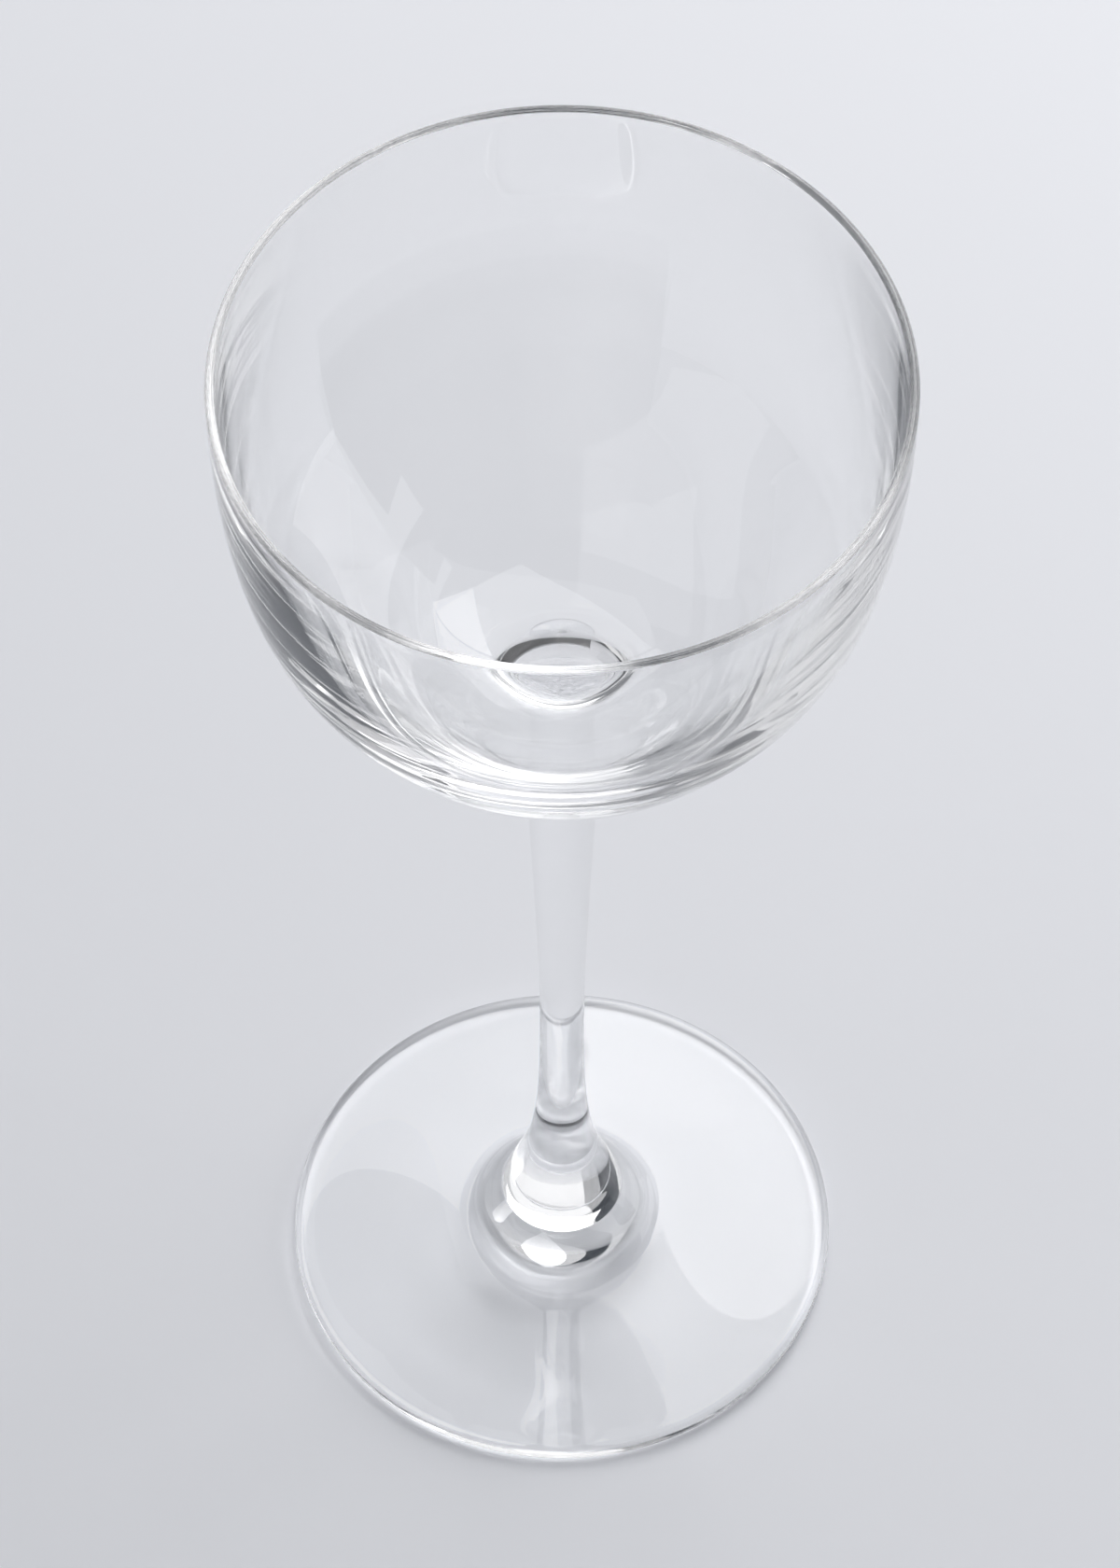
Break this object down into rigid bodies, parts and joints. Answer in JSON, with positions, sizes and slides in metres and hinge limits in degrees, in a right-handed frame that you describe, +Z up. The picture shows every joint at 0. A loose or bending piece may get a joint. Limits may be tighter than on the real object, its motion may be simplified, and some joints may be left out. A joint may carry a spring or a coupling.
{
  "type": "nick and nora glass",
  "caption": "Clear stemmed cocktail glass with a deep round bowl, a slim flared stem and a flat round foot.",
  "frame": {"origin": "centre of the circle that the foot stands on, at the table", "axes": "+Z up along the axis of the stem; the glass is round about it, so +X and +Y are free"},
  "size_m": [0.0644, 0.0644, 0.15],
  "materials": {
    "bowl_glass": "fire-polished clear crystal glass",
    "stem_glass": "pulled clear crystal glass",
    "foot_glass": "spun clear crystal glass"
  },
  "bodies": {
    "root": {"bowl": "bowl_glass", "stem": "stem_glass", "foot": "foot_glass"}
  },
  "joints": []
}
